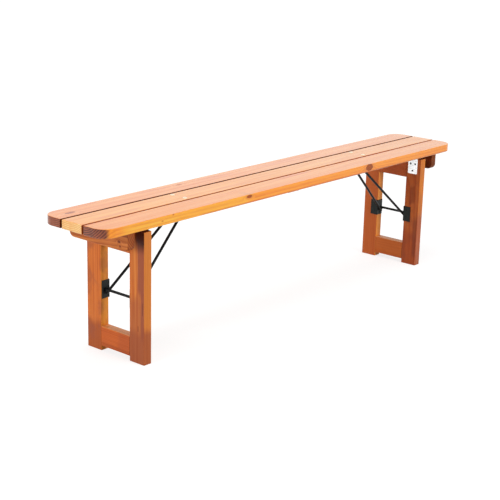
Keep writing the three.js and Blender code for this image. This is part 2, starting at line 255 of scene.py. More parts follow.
def mark_gap_sides(piece, side):
    """Stores how squarely each corner of the mesh faces a gap between the planks, where shade is painted. The
    gap is on the side given, -1 for the front and 1 for the rear, or for 0 on both."""
    middle = centre_of(piece).y
    mark = piece.data.attributes.new("gap_side", "FLOAT", "CORNER")
    for index, normal in enumerate(piece.data.corner_normals):
        place = piece.data.vertices[piece.data.loops[index].vertex_index].co
        if side == 0:
            mark.data[index].value = abs(normal.vector.y)
        elif (place.y - middle) * side > 0:
            mark.data[index].value = max(0, normal.vector.y * side)


def fit(piece, material, slot, body, *replaced):
    """Gives a finished piece its material and body, and lets it stand for solids of the frame. Its slot is
    not used.
    """
    piece.data.materials.clear()
    piece.data.materials.append(material)
    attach(piece, body)
    if replaced:
        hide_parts(*replaced)


class Finish:
    """A material as it is mixed. Most methods add a node and give back what comes out of it."""

    def __init__(self, name):
        self.material = bpy.data.materials.new(name)
        self.material.use_nodes = True
        self.tree = self.material.node_tree
        self.surface = self.tree.nodes["Principled BSDF"]
        self.place = self.add("ShaderNodeTexCoord").outputs["Object"]

    def add(self, kind, **settings):
        node = self.tree.nodes.new(kind)
        for name, value in settings.items():
            setattr(node, name, value)
        return node

    def feed(self, socket, value):
        if isinstance(value, bpy.types.NodeSocket):
            self.tree.links.new(value, socket)
        else:
            socket.default_value = value

    def set(self, **inputs):
        """Feeds the surface's own inputs."""
        for name, value in inputs.items():
            self.feed(self.surface.inputs[name.replace("_", " ")], value)

    def sum(self, operation, first, second=0.0, third=0.0):
        node = self.add("ShaderNodeMath", operation=operation)
        for socket, value in zip(node.inputs, (first, second, third)):
            self.feed(socket, value)
        return node.outputs[0]

    def arrow(self, operation, first, second=(0, 0, 0)):
        node = self.add("ShaderNodeVectorMath", operation=operation)
        self.feed(node.inputs[0], first)
        self.feed(node.inputs[1], second)
        return node.outputs["Value" if operation == "LENGTH" else "Vector"]

    def moved(self, vector, location=(0, 0, 0), rotation=(0, 0, 0), scale=(1, 1, 1)):
        node = self.add("ShaderNodeMapping")
        settings = {"Vector": vector, "Location": location, "Rotation": rotation, "Scale": scale}
        for name, value in settings.items():
            self.feed(node.inputs[name], value)
        return node.outputs["Vector"]

    def split(self, vector):
        node = self.add("ShaderNodeSeparateXYZ")
        self.feed(node.inputs[0], vector)
        return node.outputs

    def join(self, parts):
        node = self.add("ShaderNodeCombineXYZ")
        for socket, part in zip(node.inputs, parts):
            self.feed(socket, part)
        return node.outputs[0]

    def stored(self, name):
        """What was stored on the mesh under a name."""
        return self.add("ShaderNodeAttribute", attribute_name=name).outputs["Fac"]

    def noise(self, vector, scale, detail=2.0, roughness=0.5, output="Fac"):
        """Cloudy noise, stretched by a different scale along each axis."""
        node = self.add("ShaderNodeTexNoise")
        self.feed(node.inputs["Vector"], self.moved(vector, scale=scale))
        node.inputs["Scale"].default_value = 1
        node.inputs["Detail"].default_value = detail
        node.inputs["Roughness"].default_value = roughness
        return node.outputs[output]

    def drift(self, vector, scale, stray, detail=2.0):
        """Cloudy noise to either side of nothing, as far as it may stray along each axis."""
        centred = self.arrow("SUBTRACT", self.noise(vector, scale, detail, output="Color"), (0.5, 0.5, 0.5))
        return self.arrow("MULTIPLY", centred, stray)

    def ease(self, value, start, end, low=0.0, high=1.0):
        """Runs smoothly from low to high while the value runs from start to end."""
        node = self.add("ShaderNodeMapRange", interpolation_type="SMOOTHSTEP")
        for name, setting in (("Value", value), ("To Min", low), ("To Max", high)):
            self.feed(node.inputs[name], setting)
        if start > end:
            start, end = end, start
            self.feed(node.inputs["To Min"], high)
            self.feed(node.inputs["To Max"], low)
        node.inputs["From Min"].default_value = start
        node.inputs["From Max"].default_value = end
        return node.outputs["Result"]

    def blend(self, share, first, second, way="MIX"):
        node = self.add("ShaderNodeMix", data_type="RGBA", blend_type=way)
        self.feed(node.inputs[0], share)
        self.feed(node.inputs[6], first)
        self.feed(node.inputs[7], second)
        return node.outputs[2]

    def bump(self, height, strength, distance):
        node = self.add("ShaderNodeBump")
        self.feed(node.inputs["Height"], height)
        node.inputs["Strength"].default_value = strength
        node.inputs["Distance"].default_value = distance
        self.feed(self.surface.inputs["Normal"], node.outputs["Normal"])


def pine(
    name, piece, grain, early, late, end_light, end_dark, pith, seed, ring=0.0045, tilt=(0.01, 0.006),
    contrast=0.5, cloud=(1, 1, 1, 1), clouding=0.0, stains_and_painted_light=(), knots=(), varnish=False, gap_stain=None,
):
    """Stained pine for one board, whose grain runs along one axis. Its rings go from early wood to late, each
    as wide as ring says. Pith says how far to the side of the board, across its width and its thickness, the
    middle of the tree was, and tilt how the tree leaned. The seed moves the marks, so that no two boards are
    alike, and a cloud is a colour that lies over the board in patches. A stretch of colour is a patch where
    the wood took the stain differently, a patch of painted shade, or a patch of painted light, as marked
    where it
    is listed: where it lies along the board, across it and through it, from the board's middle, with None for
    all of it, then its colour and its strength. A narrow one is straight, and a wide one sways with the
    grain.
    A knot has a middle, three radii, and the colours of its heart, its rim and the wood round it.
    The painted shade of a gap has its colour, and how squarely a face has to look into the gap for the
    shade to begin and to be full."""
    wood = Finish(name)
    parts = wood.split(wood.moved(wood.place, location=-centre_of(piece)))
    board = wood.join(parts[axis] for axis in grain_orders[grain])
    seeded = wood.moved(board, location=(seed, seed * 0.37, seed * 0.61))

    tree = wood.moved(board, location=(0, -pith[0], -pith[1]), rotation=(0, tilt[1], tilt[0]))
    strayed = wood.arrow("ADD", tree, wood.drift(seeded, ring_waves, ring_stray))
    radius = wood.arrow("LENGTH", wood.arrow("MULTIPLY", strayed, (0, 1, 1)))

    knot_marks = []
    for centre, radii, heart, rim, halo in knots:
        squashed = wood.moved(
            wood.place, location=[-c / r for c, r in zip(centre, radii)], scale=[1 / r for r in radii]
        )
        uneven = wood.drift(wood.place, knot_edge_waves, knot_edge_stray)
        distance = wood.arrow("LENGTH", wood.arrow("ADD", squashed, uneven))
        radius = wood.sum("MULTIPLY_ADD", wood.ease(distance, 3.2, 0.8), knot_bulge, radius)
        knot_marks.append((distance, heart, rim, halo))

    phase = wood.sum("FRACT", wood.sum("DIVIDE", radius, ring))
    dark = wood.sum("MULTIPLY", wood.ease(phase, 0.2, 0.9), wood.ease(phase, 1.0, 0.93))
    fibre = wood.noise(seeded, fibre_waves, detail=3)
    streak = wood.noise(seeded, streak_waves, detail=3, roughness=0.6)
    patch = wood.noise(seeded, patch_waves, detail=3)

    uneven_dark = wood.sum("MULTIPLY", dark, wood.ease(patch, 0.3, 0.7, 0.45, 1.0))
    ring_share = wood.sum("MULTIPLY", uneven_dark, contrast)
    share = wood.sum("MULTIPLY_ADD", wood.ease(streak, 0.35, 0.72), 0.35, ring_share)
    colour = wood.blend(share, early, late)

    straight = wood.split(board)
    swayed = wood.split(wood.arrow("ADD", board, wood.drift(seeded, stain_waves, stain_stray, detail=3)))
    # Stain of the wood, painted shade and painted light, each laid over the grain.
    for *stretches, stain, strength in stains_and_painted_light:
        mask = strength
        for axis, stretch in enumerate(stretches):
            if stretch:
                begin, end = stretch
                soft = min(stain_softness * (end - begin), longest_fade)
                place = (swayed if end - begin > narrow_stain else straight)[axis]
                off = wood.sum("ABSOLUTE", wood.sum("SUBTRACT", place, (begin + end) / 2))
                inside = wood.ease(off, (end - begin) / 2 + soft, (end - begin) / 2 - soft)
                mask = wood.sum("MULTIPLY", inside, mask)
        colour = wood.blend(mask, colour, stain)
    if clouding:
        cloudy = wood.ease(wood.noise(seeded, cloud_waves, detail=4), 0.42, 0.66)
        colour = wood.blend(wood.sum("MULTIPLY", cloudy, clouding), colour, cloud)

    bare = 0.0
    for distance, heart, rim, halo in knot_marks:
        colour = wood.blend(wood.sum("MULTIPLY", wood.ease(distance, 2.3, 1.0), 0.55), colour, halo)
        rings = wood.ease(wood.sum("SINE", wood.sum("MULTIPLY", distance, 16)), -1, 1, 0.0, 0.55)
        off_rim = wood.sum("ABSOLUTE", wood.sum("SUBTRACT", distance, 0.93))
        face = wood.blend(wood.ease(off_rim, 0.12, 0.03), wood.blend(rings, heart, rim), rim)
        knot = wood.ease(distance, 1.06, 0.96)
        colour = wood.blend(knot, colour, face)
        bare = wood.sum("MAXIMUM", bare, wood.sum("MULTIPLY", knot, 0.8))

    cut_end = wood.ease(wood.stored("end_grain"), 0.38, 0.66)
    pores = wood.ease(wood.noise(seeded, pore_waves), 0.35, 0.65)
    end_share = wood.sum("MULTIPLY_ADD", pores, 0.25, wood.sum("MULTIPLY", dark, 0.85))
    end_colour = wood.blend(wood.sum("MULTIPLY", wood.ease(patch, 0.3, 0.7), 0.5), end_light, end_dark)
    colour = wood.blend(cut_end, colour, wood.blend(end_share, end_colour, end_dark))
    matt = wood.sum("MULTIPLY_ADD", cut_end, 0.22, wood.ease(streak, 0.3, 0.7, 0.28, 0.4))
    # Painted shade: faces that look into a gap between the planks are coloured dark for the shade in the gap,
    # and are rougher and bare of varnish there.
    if gap_stain:
        stain, begin, full = gap_stain
        gap = wood.ease(wood.stored("gap_side"), begin, full)
        colour = wood.blend(gap, colour, stain)
        matt = wood.sum("MULTIPLY_ADD", gap, 0.5, matt)
        bare = wood.sum("MAXIMUM", bare, gap)
    tone = wood.sum("MULTIPLY", wood.ease(fibre, 0.25, 0.75, 0.9, 1.06), wood.ease(share, 0, 1, 1.0, 0.86))
    shade = wood.join(wood.sum("MULTIPLY_ADD", tone, depth, 1 - depth) for depth in tone_depths)
    colour = wood.blend(1.0, colour, shade, "MULTIPLY")
    wood.set(Base_Color=colour, Roughness=matt, Specular_IOR_Level=timber_shine)
    if varnish:
        coat = wood.sum("SUBTRACT", 1.0, bare)
        wood.set(Coat_Weight=coat, Coat_Roughness=varnish_haze, Coat_IOR=varnish_index)
    relief = wood.sum("MULTIPLY_ADD", fibre, 0.6, wood.sum("MULTIPLY", dark, 0.5))
    wood.bump(relief, strength=0.25, distance=0.0004)
    return wood.material


def plank(node, corner_side):
    low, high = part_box(node)
    piece = sawn(node + "_board", low, high)
    if corner_side:
        outer = max(corner_side * low.y, corner_side * high.y) - hair
        round_edges(
            piece, lambda point, run: runs_along(run, "Z") and corner_side * point.y > outer,
            plank_corner, steps=20,
        )
    round_arrises(piece, plank_arris, steps=4)
    return piece


plank_sides = {"front_plank": -1, "middle_plank": 0, "rear_plank": 1}
planks = {node: plank(node, side) for node, side in plank_sides.items()}
seat_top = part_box("middle_plank")[1].z
front_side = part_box("front_plank")[0].y
bolt_place = middle_of("right_rear_bracket_bolt")
for side in (-1, 1):
    for end in (-1, 1):
        point = (end * bolt_place.x, side * bolt_place.y, seat_top)
        bore(planks["middle_plank"], point, (0, 0, 1), bolt_hole, bolt_hole_depth)
for node, side in plank_sides.items():
    smooth(planks[node])
    mark_end_grain(planks[node], "X")
    mark_gap_sides(planks[node], -side)

knot_brown = srgb(172, 84, 16)
knot_dark = srgb(124, 50, 6)
knot_gold = srgb(214, 132, 30)
knot_amber = srgb(206, 116, 30)
pin_knot = (0.003, 0.003, 0.0016)
front_knots = [
    (
        (0.3594, front_side, seat_top - 0.0115), (0.02, 0.014, 0.0115),
        knot_brown, knot_dark, srgb(222, 120, 34),
    ),
    (
        (-0.2879, front_side, seat_top - 0.0058), (0.0125, 0.03, 0.0047),
        srgb(190, 92, 18), srgb(98, 32, 2), knot_gold,
    ),
    ((-0.6305, front_side, seat_top - 0.0022), pin_knot, knot_amber, knot_amber, knot_gold),
    ((-0.676, front_side, seat_top - 0.0136), pin_knot, knot_amber, knot_amber, knot_gold),
]
rear_knots = [
    (
        (-0.8404, 0.0833, seat_top), (0.019, 0.0075, 0.02),
        srgb(196, 124, 98), srgb(152, 88, 70), srgb(236, 146, 80),
    ),
    (
        (-0.3541, 0.1088, seat_top), (0.012, 0.006, 0.012),
        srgb(222, 140, 96), srgb(196, 112, 74), srgb(242, 156, 86),
    ),
]
side_face = (-0.0465, -0.0428)
front_stains_and_shade = [
    ((-0.845, -0.3), side_face, None, srgb(255, 184, 42), 0.6),
    ((-0.82, -0.62), side_face, (-0.005, 0.002), srgb(255, 206, 76), 0.35),
    ((-0.3, 0.93), side_face, None, srgb(250, 150, 14), 0.4),
    # Painted shade: the next two darken the lower edge of the front face, for the shade under the seat's
    # rounded edge.
    ((-0.5, 0.93), side_face, (-0.0175, -0.0085), srgb(200, 96, 16), 0.45),
    ((0.1, 0.93), side_face, (-0.0155, -0.0115), srgb(150, 62, 20), 0.5),
]
# The gap colours of the planks are painted shade for the gaps between them.
plank_looks = {
    "front_plank": dict(
        early=srgb(255, 164, 32), late=srgb(242, 122, 18), end_light=srgb(178, 94, 60),
        end_dark=srgb(62, 20, 6), pith=(0.03, 0.05), seed=1.3, ring=0.0065, contrast=0.7, stains_and_painted_light=front_stains_and_shade,
        knots=front_knots, gap_stain=(srgb(130, 56, 26), 0.15, 0.5),
    ),
    "middle_plank": dict(
        early=srgb(255, 170, 46), late=srgb(244, 132, 26), end_light=srgb(255, 222, 156),
        end_dark=srgb(240, 170, 92), pith=(-0.02, -0.07), seed=4.1, ring=0.0055,
        gap_stain=(srgb(174, 84, 36), 0.05, 0.35),
    ),
    "rear_plank": dict(
        early=srgb(255, 166, 72), late=srgb(242, 124, 52), end_light=srgb(184, 96, 50),
        end_dark=srgb(104, 46, 24), pith=(0.01, 0.12), seed=7.7, ring=0.006, knots=rear_knots,
        gap_stain=(srgb(94, 38, 4), 0.0, 0.08),
    ),
}
for node, look in plank_looks.items():
    material = pine("stained_" + node, planks[node], "X", varnish=True, **look)
    fit(planks[node], material, "seat_timber", "seat", node)

# Battens: boards on edge across the underside, outside the legs, with rounded lower corners, and a flat cleat
# at mid length. They hold the planks together, and are screwed on from below.
batten_corner = 0.018
batten_arris = 0.0015
screw_well = 0.0052
screw_well_depth = 0.02
end_batten_screws = [-0.112, -0.072, -0.02, 0.02, 0.072, 0.112]
cleat_screws = [(x, y) for x in (-0.015, 0.015) for y in (-0.068, 0, 0.068)]
cleat_sink = [(-0.0021, 0.002), (0.0004, 0.0045)]
batten_middle_x = middle_of("right_end_batten").x
both_ends = (("left", -1), ("right", 1))

battens = {}
for end, way in both_ends:
    node = end + "_end_batten"
    low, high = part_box(node)
    piece = sawn(node + "_board", low, high)
    lower_edge = low.z + hair
    round_edges(
        piece, lambda point, run: runs_along(run, "X") and point.z < lower_edge, batten_corner, steps=10
    )
    round_arrises(piece, batten_arris, steps=3)
    for y in end_batten_screws:
        bore(piece, (way * batten_middle_x, y, low.z), (0, 0, -1), screw_well, screw_well_depth)
    smooth(piece)
    mark_end_grain(piece, "Y")
    battens[node] = piece
low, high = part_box("middle_batten")
cleat = sawn("middle_batten_board", low, high)
round_arrises(cleat, batten_arris, steps=3)
for x, y in cleat_screws:
    combine(cleat, stand(turned("countersink", cleat_sink), (x, y, low.z), (0, 0, -1)), "DIFFERENCE")
smooth(cleat)
mark_end_grain(cleat, "Y")
battens["middle_batten"] = cleat

batten_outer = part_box("left_end_batten")[0].x
left_batten_knots = [
    ((batten_outer, y, seat_top - below), radii, knot_dark, srgb(70, 28, 14), srgb(150, 76, 36))
    for y, below, radii in (
        (-0.0891, 0.06, (0.012, 0.0045, 0.0035)), (-0.0932, 0.0727, (0.012, 0.003, 0.0025)),
    )
]
batten_looks = {
    "left_end_batten": dict(
        name="stained_left_batten", early=srgb(208, 126, 62), late=srgb(164, 84, 38),
        end_light=srgb(188, 104, 52), end_dark=srgb(128, 60, 26), pith=(0.02, 0.05), seed=11.2, ring=0.006,
        contrast=0.9, tilt=(0.12, 0.02), knots=left_batten_knots,
    ),
    # Painted shade: the right batten is coloured far darker than the left, for the shade on its inner face
    # and end under the seat.
    "right_end_batten": dict(
        name="stained_right_batten", early=srgb(150, 76, 44), late=srgb(104, 48, 28),
        end_light=srgb(156, 78, 20), end_dark=srgb(90, 40, 8), pith=(-0.01, 0.06), seed=13.9, contrast=0.7,
    ),
    "middle_batten": dict(
        name="stained_cleat", early=srgb(228, 146, 74), late=srgb(196, 104, 44), end_light=srgb(184, 108, 40),
        end_dark=srgb(126, 62, 20), pith=(0.03, 0.04), seed=17.3,
    ),
}
for node, look in batten_looks.items():
    fit(battens[node], pine(piece=battens[node], grain="Y", **look), "batten_timber", "seat", node)

# Leg frames: two stiles and two rails each, planed pine with a darker, redder stain. The rails are tenoned
# into the stiles and glued, and the long edges are rounded.
leg_arris = 0.002
end_arris = 0.0008
stile_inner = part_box("right_leg_rear_stile")[0].y
tenon_reach = 0.009
tenon_half = 0.0045
tenon_shoulder = 0.012
tenon_slack = 0.0003
leg_middle_x = middle_of("right_leg_rear_stile").x
both_sides = (("front", -1), ("rear", 1))
rail_heights = {}
for rail in ("top_rail", "bottom_rail"):
    low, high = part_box("right_leg_" + rail)
    rail_heights[rail] = (low.z, high.z)


def tenon(way, y0, y1, z0, z1):
    middle = way * leg_middle_x
    foot, head = z0 + tenon_shoulder, z1 - tenon_shoulder
    return sawn("tenon", (middle - tenon_half, y0, foot), (middle + tenon_half, y1, head))


def long_arrises(piece, grain):
    round_edges(piece, lambda point, run: runs_along(run, grain), leg_arris, steps=4)
    round_arrises(piece, end_arris, steps=2)


leg_boards = {}
for end, way in both_ends:
    for word, side in both_sides:
        node = f"{end}_leg_{word}_stile"
        piece = sawn(node + "_board", *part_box(node))
        long_arrises(piece, "Z")
        for z0, z1 in rail_heights.values():
            mortise = sorted((side * (stile_inner - hair), side * (stile_inner + tenon_reach)))
            combine(piece, tenon(way, *mortise, z0, z1), "DIFFERENCE")
        smooth(piece)
        mark_end_grain(piece, "Z")
        leg_boards[node] = piece
    for rail, (z0, z1) in rail_heights.items():
        node = f"{end}_leg_{rail}"
        low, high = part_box(node)
        piece = sawn(node + "_board", (low.x, -stile_inner, z0), (high.x, stile_inner, z1))
        round_edges(piece, lambda point, run: runs_along(run, "Y"), leg_arris, steps=4)
        reach = stile_inner + tenon_reach - tenon_slack
        combine(piece, tenon(way, -reach, reach, z0, z1), "UNION")
        smooth(piece)
        mark_end_grain(piece, "Y")
        leg_boards[node] = piece

# Stretches of colour in the skin of a board: on its left face, its front face or the top of a rail. Most are
# stain that the wood took differently; painted shade and painted light are marked where they stand.
near_face = (-0.0175, -0.0149)
front_face = (-0.033, -0.0303)
# Painted reflection: the top of a rail is coloured paler on the bottom rails, for the sheen on their top
# faces.
rail_top_sheen = (0.0312, 0.034)
# Painted shade: a flat, redder colour for the inner faces of the right leg, which lie in the shade under the
# seat.
inner_face_shade = srgb(212, 106, 52)
leg_plum = srgb(158, 82, 58)
check_brown = srgb(78, 32, 22)
leg_stain = dict(
    early=srgb(226, 128, 56), late=srgb(196, 92, 34), end_light=srgb(150, 84, 48), end_dark=srgb(88, 40, 24)
)
leg_looks = {
    "left_leg_front_stile": dict(
        early=srgb(228, 140, 66), pith=(0.03, 0.05), seed=21.0, contrast=0.7,
        stains_and_painted_light=[
            # Darker over the lower half of the outer face.
            ((-0.25, -0.005), None, near_face, srgb(176, 92, 54), 0.65),
            ((0.0, 0.25), (-0.04, -0.002), near_face, leg_plum, 0.9),
            ((-0.13, 0.02), (-0.04, -0.014), near_face, leg_plum, 0.8),
            # Darker towards the foot.
            ((-0.25, -0.11), (-0.04, 0.04), near_face, srgb(158, 78, 48), 0.6),
            # Painted shadow: near black at the top of the outer face, under the seat and behind the batten.
            ((0.17, 0.25), (-0.04, 0.004), near_face, srgb(84, 34, 20), 0.85),
            ((-0.054, -0.012), (-0.0256, -0.0236), near_face, check_brown, 0.8),
            ((-0.104, -0.088), (-0.0066, -0.0046), near_face, check_brown, 0.8),
            ((-0.1, 0.25), front_face, None, srgb(214, 128, 52), 0.8),
            # Darker towards the foot.
            ((-0.25, -0.105), front_face, None, srgb(166, 84, 46), 0.85),
        ],
    ),
    "left_leg_rear_stile": dict(
        pith=(-0.05, 0.04), seed=23.4, contrast=0.7, cloud=leg_plum, clouding=0.5,
        stains_and_painted_light=[
            # Darker towards the foot.
            ((-0.25, -0.11), None, near_face, srgb(160, 72, 32), 0.7),
            # Painted light: the rear stile's front face is lightened to ochre.
            ((-0.25, 0.25), front_face, None, srgb(250, 164, 62), 0.85),
        ],
    ),
    "left_leg_top_rail": dict(pith=(0.02, -0.06), seed=26.1),
    "left_leg_bottom_rail": dict(
        early=srgb(216, 108, 44), late=srgb(180, 76, 30), pith=(0.05, 0.02), seed=28.8,
        stains_and_painted_light=[
            ((-0.08, -0.01), None, near_face, srgb(186, 88, 44), 0.6),
            # Painted shade: darker along the lower part of the outer face, under the rail's rounded lower
            # edge.
            (None, (-0.037, -0.019), near_face, srgb(168, 78, 34), 0.5),
            # Painted reflection: a paler top face, for its sheen.
            (None, rail_top_sheen, None, srgb(246, 176, 112), 0.8),
        ],
    ),
    "right_leg_front_stile": dict(
        pith=(0.03, 0.06), seed=31.5, contrast=1.0, ring=0.009, tilt=(0.09, 0.05), cloud=leg_plum,
        clouding=0.35,
        stains_and_painted_light=[
            # Painted shade on the inner face.
            (None, None, near_face, inner_face_shade, 0.6),
            # Darker towards the foot.
            ((-0.25, -0.08), None, near_face, srgb(188, 86, 42), 0.8),
            ((-0.17, -0.02), (-0.04, -0.014), near_face, srgb(112, 50, 40), 0.5),
            ((0.03, 0.1), (-0.012, 0.012), near_face, srgb(140, 56, 26), 0.5),
            ((-0.02, 0.25), front_face, None, srgb(218, 126, 28), 0.8),
            # Darker over the lower half of the front face.
            ((-0.25, -0.02), front_face, None, srgb(166, 84, 54), 0.7),
        ],
    ),
    "right_leg_rear_stile": dict(
        pith=(-0.04, -0.05), seed=34.0, contrast=0.6,
        stains_and_painted_light=[
            # Painted shade on the inner face.
            (None, None, near_face, inner_face_shade, 0.8),
            # Painted light: the rear stile's front face is lightened to ochre.
            ((-0.25, 0.25), front_face, None, srgb(255, 164, 66), 0.85),
        ],
    ),
    "right_leg_top_rail": dict(
        # Painted shade on the inner face.
        pith=(0.06, 0.05), seed=37.2, contrast=0.6, stains_and_painted_light=[(None, None, near_face, srgb(204, 98, 50), 0.8)],
    ),
    "right_leg_bottom_rail": dict(
        pith=(-0.03, 0.06), seed=39.9, contrast=0.35,
        stains_and_painted_light=[
            # Painted shade on the inner face.
            (None, None, near_face, srgb(212, 106, 46), 0.7),
            # Painted reflection: a paler top face, for its sheen.
            (None, rail_top_sheen, None, srgb(250, 184, 128), 0.8),
        ],
    ),
}
for node, look in leg_looks.items():
    grain = "Z" if node.endswith("stile") else "Y"
    material = pine("stained_" + node, leg_boards[node], grain, **{**leg_stain, **look})
    fit(leg_boards[node], material, "leg_timber", node.split("_")[0] + "_leg", node)

# Hinges: one zinc-plated steel butt hinge per stile. One leaf is screwed to the inner face of the stile and
# the other to the underside of the seat, and a riveted pin joins their knuckles.
pin_middle = middle_of("right_rear_hinge_pin")
leaf_width = 0.041
half_leaf = leaf_width / 2
leaf_length = 0.063
leaf_near = 0.0037
leaf_far = 0.0057
leaf_corner = 0.004
leaf_arris = 0.0003
knuckle_radius = 0.0048
knuckle_edge = leaf_width / 6
knuckle_gap = 0.0004
pin_radius = 0.0023
pin_slack = 0.0002
pin_chamfer = 0.0006
pin_end = 0.0016
leaf_screws = [(-0.01, -0.025), (0.01, -0.025), (0, -0.051)]
leaf_sink = [(-0.003, 0.0021), (-0.0018, 0.0021), (0.0003, 0.0042)]
screw_length = 0.016
screw_point = 0.003
screw_shank = 0.0018
screw_head = 0.0038
head_depth = 0.0019
head_dome = [(0.0003, 0.0036), (0.0007, 0.0029), (0.001, 0.0018), (0.0011, 0.0004)]
recess_long = 0.0021
recess_wide = 0.00045
recess_depth = 0.0006
recess_top = 0.003


def copied(piece, name):
    """A copy with its own mesh."""
    twin = piece.copy()
    twin.data = piece.data.copy()
    twin.name = name
    scene.collection.objects.link(twin)
    return twin


def other_end(name):
    swap = {"right": "left", "front": "rear", "rear": "front"}
    return "_".join(swap.get(word, word) for word in name.split("_"))


def half_turned(piece):
    """The same piece at the left end: a copy turned half round the middle of the seat."""
    twin = copied(piece, other_end(piece.name))
    select_only(twin)
    twin.rotation_mode = "XYZ"
    twin.rotation_euler = (0, 0, math.pi)
    settle()
    return twin


def at_both_ends(piece, material, slot, body, node=None):
    """Fits a piece of the right end and its copy at the left. Body and node are named for the right end."""
    for each, turn in ((piece, str), (half_turned(piece), other_end)):
        fit(each, material, slot, turn(body), *([turn(node)] if node else []))


def barrel(y0, y1, radius):
    return stand(turned("barrel", [(y0, radius), (y1, radius)], steps=32), (0, 0, 0), (0, 1, 0))


def hinge_leaf(own, others):
    """A leaf about the hinge axis, running down from it, its screw holes countersunk on the near side."""
    leaf = sawn("leaf", (leaf_near, -half_leaf, -leaf_length), (leaf_far, half_leaf, 0))
    foot = hair - leaf_length
    round_edges(leaf, lambda point, run: runs_along(run, "X") and point.z < foot, leaf_corner, steps=8)
    round_arrises(leaf, leaf_arris, steps=2)
    for y0, y1 in others:
        combine(leaf, barrel(y0 - knuckle_gap, y1 + knuckle_gap, knuckle_radius + knuckle_gap), "DIFFERENCE")
    for y0, y1 in own:
        combine(leaf, barrel(y0, y1, knuckle_radius), "UNION")
    combine(leaf, barrel(-leaf_width, leaf_width, pin_radius + pin_slack), "DIFFERENCE")
    for y, z in leaf_screws:
        combine(leaf, stand(turned("countersink", leaf_sink), (leaf_near, y, z), (-1, 0, 0)), "DIFFERENCE")
    smooth(leaf)
    return leaf


def countersunk_screw():
    """A wood screw about the Z axis, its countersunk head slightly domed above z = 0, with a cross recess."""
    shank = [
        (-screw_length, 0.0003), (screw_point - screw_length, 0.0013), (-0.0025, screw_shank),
        (-head_depth, screw_shank),
    ]
    screw = turned("screw", [*shank, (0, screw_head), *head_dome])
    for x, y in ((recess_long, recess_wide), (recess_wide, recess_long)):
        combine(screw, sawn("recess", (-x, -y, -recess_depth), (x, y, recess_top)), "DIFFERENCE")
    smooth(screw)
    return screw


zinc = Finish("zinc_plated_steel")
spangle = zinc.add("ShaderNodeTexVoronoi")
zinc.feed(spangle.inputs["Vector"], zinc.place)
spangle.inputs["Scale"].default_value = 260
cells = zinc.ease(zinc.sum("FRACT", zinc.sum("MULTIPLY", spangle.outputs["Distance"], 3)), 0, 1)
scuffs = zinc.noise(zinc.place, (300, 40, 300), detail=4)
zinc.set(
    Base_Color=zinc.blend(zinc.ease(scuffs, 0.35, 0.7), srgb(255, 255, 255), srgb(250, 251, 252)),
    Metallic=1.0, Roughness=zinc.ease(cells, 0, 1, 0.2, 0.27),
)
zinc.bump(scuffs, strength=0.03, distance=0.0001)

# Painted shade: the hinge screws are coloured dark grey, for the shade in their countersinks.
screw_shade = Finish("dark_plated_screw")
dull = screw_shade.noise(screw_shade.place, (500, 500, 500), detail=3)
screw_shade.set(
    Base_Color=screw_shade.blend(screw_shade.ease(dull, 0.35, 0.65), srgb(44, 50, 44), srgb(70, 76, 66)),
    Metallic=0.3, Roughness=screw_shade.ease(dull, 0.3, 0.7, 0.35, 0.55), Specular_IOR_Level=0.3,
)

outer_knuckles = [(-half_leaf, -knuckle_edge - knuckle_gap), (knuckle_edge + knuckle_gap, half_leaf)]
middle_knuckle = [(-knuckle_edge, knuckle_edge)]
leg_leaf = hinge_leaf(middle_knuckle, outer_knuckles)
seat_leaf = hinge_leaf(outer_knuckles, middle_knuckle)
lay_flat = Matrix(((0, 0, 1), (0, -1, 0), (1, 0, 0)))
leaf_screw = countersunk_screw()
pin_top = half_leaf - pin_chamfer
pin_rings = [(-half_leaf, pin_end), (-pin_top, pin_radius), (pin_top, pin_radius), (half_leaf, pin_end)]
pin = turned("pin", pin_rings)
smooth(pin)
for word, side in both_sides:
    centre = Vector((pin_middle.x, side * pin_middle.y, pin_middle.z))
    stem = f"right_{word}_hinge"
    piece = stand(copied(leg_leaf, stem + "_leg_leaf_plate"), centre, (0, 0, 1))
    at_both_ends(piece, zinc.material, "zinc_plate", "right_leg", stem + "_leg_leaf")
    piece = turn_to(copied(seat_leaf, stem + "_seat_leaf_plate"), centre, lay_flat.to_quaternion())
    at_both_ends(piece, zinc.material, "zinc_plate", "seat", stem + "_seat_leaf")
    piece = stand(copied(pin, stem + "_rivet"), centre, (0, 1, 0))
    at_both_ends(piece, zinc.material, "zinc_plate", "seat", stem + "_pin")
    for number, (y, z) in enumerate(leaf_screws, 1):
        point = centre + Vector((leaf_near, y, z))
        piece = stand(copied(leaf_screw, f"{stem}_leg_screw_{number}"), point, (-1, 0, 0))
        at_both_ends(piece, screw_shade.material, "dark_screw", "right_leg", f"{stem}_screw_{number}")
        point = centre + Vector((z, y, leaf_near))
        piece = stand(copied(leaf_screw, f"{stem}_seat_screw_{number}"), point, (0, 0, -1))
        at_both_ends(piece, screw_shade.material, "dark_screw", "seat")

# Catch plates: angles of black-painted steel sheet on the inner corners of the stiles, two screws each. The
# groove in the side flange takes the end of the brace's cross rod.
catch_arris = 0.0003
catch_screw_offset = 0.0145
merge_distance = 0.00001
flat_angle = math.radians(1)
catch_low, catch_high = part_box("right_rear_catch_plate")
catch_middle = (catch_low + catch_high) / 2


def cleaned_copy(node, name):
    """A copy of a frame solid with its loose triangles joined up."""
    piece = bpy.data.objects.new(name, nodes[node].data.copy())
    scene.collection.objects.link(piece)
    select_only(piece)
    bpy.ops.object.mode_set(mode="EDIT")
    bpy.ops.mesh.select_all(action="SELECT")
    bpy.ops.mesh.remove_doubles(threshold=merge_distance)
    bpy.ops.mesh.dissolve_limited(angle_limit=flat_angle)
    bpy.ops.mesh.normals_make_consistent(inside=False)
    bpy.ops.object.mode_set(mode="OBJECT")
    return piece


